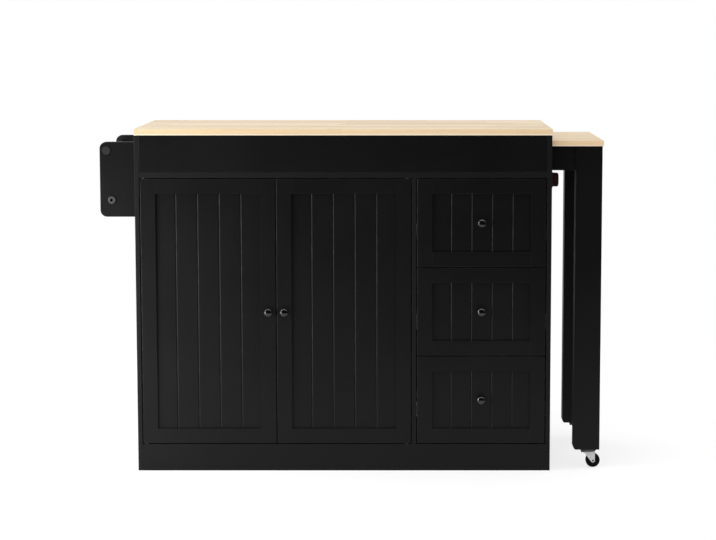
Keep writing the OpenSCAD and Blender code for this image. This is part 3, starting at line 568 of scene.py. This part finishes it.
def turnedShape(name, outline, steps=32):
    # radius and height in pairs, spun about the z axis; both ends on the axis, or else a closed ring
    bm = bmesh.new()
    points = [bm.verts.new((radius, 0, height)) for radius, height in outline]
    pairs = list(zip(points, points[1:]))
    if outline[0][0] > 0:
        pairs.append((points[-1], points[0]))
    edges = [bm.edges.new(pair) for pair in pairs]
    bmesh.ops.spin(bm, geom=points + edges, cent=(0, 0, 0), axis=(0, 0, 1), angle=2 * math.pi,
                   steps=steps, use_merge=True)
    bmesh.ops.remove_doubles(bm, verts=bm.verts, dist=fineWeld)
    bmesh.ops.recalc_face_normals(bm, faces=bm.faces)
    shape = bpy.data.meshes.new(name)
    bm.to_mesh(shape)
    bm.free()
    return shape


screwHead = {"radius": 0.0036, "sides": 16, "proud": 0.0008, "wall": 0.35, "chamfer": 0.0009,
             "rim": 0.0007, "slot": 0.00042, "taper": 0.2, "deep": 0.0005}


def crossHead(look):
    # a low round head with a cross recess; it stands on z = 0
    bm = bmesh.new()
    inner = look["radius"] - look["chamfer"] - look["rim"] + near

    def onDisc(vert):
        return vert.co.xy.length < inner and vert.co.z > look["proud"] * 0.9

    def topDisc():
        return [face for face in bm.faces if all(onDisc(vert) for vert in face.verts)]

    def inCross(face):
        middle = face.calc_center_median()
        return min(abs(middle.x), abs(middle.y)) < look["slot"]

    bmesh.ops.create_circle(bm, cap_ends=True, segments=look["sides"], radius=look["radius"])
    foot = bm.faces[:]
    top = bmesh.ops.extrude_face_region(bm, geom=foot)["geom"]
    raised = [v for v in top if isinstance(v, bmesh.types.BMVert)]
    bmesh.ops.translate(bm, verts=raised, vec=(0, 0, look["proud"] * look["wall"]))
    face = [f for f in top if isinstance(f, bmesh.types.BMFace)]
    bmesh.ops.recalc_face_normals(bm, faces=bm.faces)
    rise = look["proud"] * (1 - look["wall"])
    bmesh.ops.inset_region(bm, faces=face, thickness=look["chamfer"], depth=rise)
    bmesh.ops.inset_region(bm, faces=face, thickness=look["rim"], depth=0.0)
    for axis in ((1, 0, 0), (0, 1, 0)):
        for side in (-1, 1):
            disc = topDisc()
            edges = {edge for face in disc for edge in face.edges}
            points = {vert for face in disc for vert in face.verts}
            geom = disc + list(edges) + list(points)
            cut = Vector(axis) * look["slot"] * side
            bmesh.ops.bisect_plane(bm, geom=geom, plane_co=cut, plane_no=axis, dist=fineWeld)
    cross = [face for face in topDisc() if inCross(face)]
    bmesh.ops.inset_region(bm, faces=cross, thickness=look["slot"] * look["taper"], depth=-look["deep"])
    shape = bpy.data.meshes.new("crossHead")
    bm.to_mesh(shape)
    bm.free()
    return shape


def spread(low, high, most):
    # evenly spaced stations from low to high, no further apart than most
    gaps = math.ceil((high - low) / most)
    return [low + (high - low) * i / gaps for i in range(gaps + 1)]


backScrews = {"inset": 0.012, "apart": 0.17, "sunk": 0.0002, "turned": 0.7}


def addBackScrews(head, look):
    # round the back panel and up the middle, where the divider stands behind it
    low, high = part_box("back_panel")
    left, right = low[0] + look["inset"], high[0] - look["inset"]
    foot, top = low[2] + look["inset"], high[2] - look["inset"]
    dividerLow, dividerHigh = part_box("divider_panel")
    middle = (dividerLow[0] + dividerHigh[0]) / 2
    places = {(x, z) for x in spread(left, right, look["apart"]) for z in (foot, top)}
    places |= {(x, z) for x in (left, middle, right) for z in spread(foot, top, look["apart"])}
    bm = bmesh.new()
    backward = Matrix.Rotation(-math.pi / 2, 4, "X")
    for count, (x, z) in enumerate(sorted(places)):
        driven = Matrix.Rotation(count * look["turned"], 4, "Z")
        laid(bm, head, (x, high[1] - look["sunk"], z), backward @ driven)
    settle(bm, "back_panel_screws", "back_panel", "dark_steel")


runnerScrews = {"stations": (0.030, 0.190, 0.350), "sheet": 0.0015, "scale": 1.1, "turned": 1.1}


def addRunnerScrews(head, look):
    # three heads in each sheet steel member, on the side that faces the other member
    grow = Matrix.Scale(look["scale"], 4)

    def heads(bm, low, high, face, side):
        outward = Matrix.Rotation(side * math.pi / 2, 4, "Y")
        for count, station in enumerate(look["stations"]):
            driven = Matrix.Rotation(count * look["turned"], 4, "Z")
            spot = (face, low[1] + station, (low[2] + high[2]) / 2)
            laid(bm, head, spot, outward @ driven @ grow)

    fixed = bmesh.new()
    bayLow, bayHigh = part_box("drawer_channels")
    for level in ("upper", "middle", "lower"):
        node = "drawer_" + level + "_runners"
        low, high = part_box(node)
        boxLow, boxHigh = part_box("drawer_" + level + "_box")
        moving = bmesh.new()
        heads(moving, low, high, boxLow[0] - look["sheet"], -1)
        heads(moving, low, high, boxHigh[0] + look["sheet"], 1)
        settle(moving, node + "_screws", node, "dark_steel")
        heads(fixed, low, high, bayLow[0] + look["sheet"], 1)
        heads(fixed, low, high, bayHigh[0] - look["sheet"], -1)
    settle(fixed, "drawer_channel_screws", "drawer_channels", "dark_steel")


# outlines are shares of the radius and the height
forkRelief = {"trail": 0.0135, "cheek": 0.0112,
              "ringAt": (0.0050, 0.0322), "ringRadius": 0.0056, "ringWidth": 0.0007, "ringHeight": 0.00045,
              "ringAngles": (0, 0.63, 1.26, 1.88, 2.51, math.pi),
              "bossRadius": 0.0017, "bossHeight": 0.0005,
              "bossOutline": ((0, 0), (1, 0), (0.8, 0.7), (0, 1)),
              "rivetRadius": 0.0027, "rivetHeight": 0.0007,
              "rivetOutline": ((0, 0), (1, 0), (0.86, 0.6), (0.5, 0.95), (0, 1))}


def addForkRelief(end, look):
    # a pressed ring and boss on each side of a castor's fork, and the domed end of its axle
    fork = "castor_fork_" + end
    low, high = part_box(fork)
    wheelLow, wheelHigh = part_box("castor_wheel_" + end)
    axleX, axleZ = (wheelLow[0] + wheelHigh[0]) / 2, (wheelLow[2] + wheelHigh[2]) / 2
    swivelX = axleX - look["trail"]
    middleY = (low[1] + high[1]) / 2

    def domed(name, kind, steps):
        radius, height = look[kind + "Radius"], look[kind + "Height"]
        return turnedShape(name, [(radius * out, height * up) for out, up in look[kind + "Outline"]], steps)

    radius, width, height = look["ringRadius"], look["ringWidth"], look["ringHeight"]
    ring = turnedShape("pressedRing", [(radius + width * math.cos(angle), height * math.sin(angle))
                                       for angle in look["ringAngles"]])
    boss = domed("pressedBoss", "boss", 20)
    dome = domed("axleDome", "rivet", 24)
    pressed, axle = bmesh.new(), bmesh.new()
    for side in (-1, 1):
        turn = Matrix.Rotation(-side * math.pi / 2, 4, "X")
        spot = (swivelX + look["ringAt"][0], middleY + side * look["cheek"], look["ringAt"][1])
        laid(pressed, ring, spot, turn)
        laid(pressed, boss, spot, turn)
        cheekFace = high[1] if side > 0 else low[1]
        laid(axle, dome, (axleX, cheekFace, axleZ), turn)
    settle(pressed, fork + "_relief", fork)
    settle(axle, fork + "_axle_ends", fork, "dark_steel")


head = crossHead(screwHead)
addBackScrews(head, backScrews)
addRunnerScrews(head, runnerScrews)
for end in ("front", "rear"):
    addForkRelief(end, forkRelief)
print("small fittings made")


white = (1, 1, 1, 1)
studio = {"floorReach": 1.9, "floorSink": 0.0002, "floorColour": (0.45, 0.45, 0.45, 1), "floorGlow": 0.68,
          "mirrorGlow": 0.12, "ambient": 0.76, "frontFill": 0.34, "frontGloss": 0.0, "backGloss": 1.2,
          "overhead": 0.55, "sideways": 0.18, "paperFrom": -0.25, "paperTo": 0.35}


def raysSeen(start):
    # 1 for what the camera sees itself, and 1 for what it sees in metal or through glass
    rays = start.node("LightPath").socket.node.outputs
    kinds = ("Is Camera Ray", "Is Glossy Ray", "Is Transmission Ray")
    camera, glossy, through = (Wire(start.tree, rays[kind]) for kind in kinds)
    return camera, glossy.maths("MAXIMUM", glossy, through)


def studioFloor():
    bm = bmesh.new()
    bmesh.ops.create_circle(bm, cap_ends=True, segments=96, radius=studio["floorReach"])
    bmesh.ops.translate(bm, verts=bm.verts, vec=(0, 0, -studio["floorSink"]))
    mesh = bpy.data.meshes.new("studioFloor")
    bm.to_mesh(mesh)
    bm.free()
    floor = bpy.data.objects.new("studioFloor", mesh)
    bpy.context.scene.collection.objects.link(floor)
    made = bpy.data.materials.new("floorPaper")
    made.use_nodes = True
    made.node_tree.nodes.clear()
    start = Wire(made.node_tree)
    camera, mirrored = raysSeen(start)
    tooth = start.node("TexCoord", output="Object").noise(300, 3)
    paper = start.node("BsdfDiffuse", None, {"Color": studio["floorColour"], "Normal": bump(tooth, 0.0001)})
    strength = camera * studio["floorGlow"] + mirrored * studio["mirrorGlow"]
    glow = start.node("Emission", None, {"Color": white, "Strength": strength})
    both = start.node("AddShader", None, {0: paper, 1: glow})
    start.node("OutputMaterial", None, {"Surface": both})
    mesh.materials.append(made)


def studioWorld():
    world = bpy.data.worlds.new("studio")
    world.use_nodes = True
    world.node_tree.nodes.clear()
    start = Wire(world.node_tree)
    camera, mirrored = raysSeen(start)
    x, y, z = start.node("TexCoord", output="Generated").axes()
    # the room in front of the object is dim, the paper behind and over it is white
    toPaper = y + z * studio["overhead"] - x.maths("ABSOLUTE", x) * studio["sideways"]
    facing = toPaper.ramp(studio["paperFrom"], studio["paperTo"], studio["frontGloss"], studio["backGloss"])
    fill = studio["ambient"] + (0 - y).ramp(0.0, 1.0) * studio["frontFill"]
    strength = fill * (1 - mirrored) + facing * mirrored
    strength = strength * (1 - camera) + camera
    back = start.node("Background", None, {"Color": white, "Strength": strength})
    start.node("OutputWorld", None, {"Surface": back})
    bpy.context.scene.world = world


lamps = {
    "sideLamp": {"at": (-1.6, -0.8, 0.70), "aim": (-0.2, 0.0, 0.40), "size": (0.5, 1.0), "power": 9.2},
    "highLamp": {"at": (-1.3, -0.6, 1.35), "aim": (-0.1, -0.2, 0.4), "size": (0.3, 0.35), "power": 1.7},
    "edgeLamp": {"at": (-1.5, -0.6, 0.5), "aim": (-0.2, 0.0, 0.35), "size": (0.3, 0.9), "power": 1.7},
    "lowLamp": {"at": (-1.25, -1.3, 0.25), "aim": (-0.4, -0.2, 0.2), "size": (0.4, 0.3), "power": 3.1},
    "topLamp": {"at": (0.0, 0.2, 2.9), "aim": (0.0, 0.0, 0.0), "size": (2.4, 1.6), "power": 2.5},
}


def hangLamps():
    for name, look in lamps.items():
        lamp = bpy.data.lights.new(name, "AREA")
        lamp.shape = "RECTANGLE"
        lamp.size, lamp.size_y = look["size"]
        lamp.energy = look["power"]
        holder = bpy.data.objects.new(name, lamp)
        holder.location = look["at"]
        towards = Vector(look["aim"]) - Vector(look["at"])
        holder.rotation_euler = towards.to_track_quat("-Z", "Y").to_euler()
        bpy.context.scene.collection.objects.link(holder)


# focal length, centre of view and image size in the photo's pixels
camera = {"at": (0.1284, -5.3739, 1.2044), "pitch": 6.28, "focal": 1965.7, "centre": (399.2, 234.0),
          "image": (716, 540), "sensor": 36, "reach": 100}


def setCamera():
    width, height = camera["image"]
    data = bpy.data.cameras.new("camera")
    data.sensor_fit = "HORIZONTAL"
    data.sensor_width = camera["sensor"]
    data.lens = camera["sensor"] * camera["focal"] / width
    data.shift_x = (width / 2 - camera["centre"][0]) / width
    data.shift_y = (camera["centre"][1] - height / 2) / width
    data.clip_end = camera["reach"]
    holder = bpy.data.objects.new("camera", data)
    holder.location = camera["at"]
    holder.rotation_euler = (math.radians(90 - camera["pitch"]), 0, 0)
    bpy.context.scene.collection.objects.link(holder)
    bpy.context.scene.camera = holder


studioFloor()
studioWorld()
hangLamps()
setCamera()
bpy.context.scene.view_settings.view_transform = "Standard"
print("studio set")
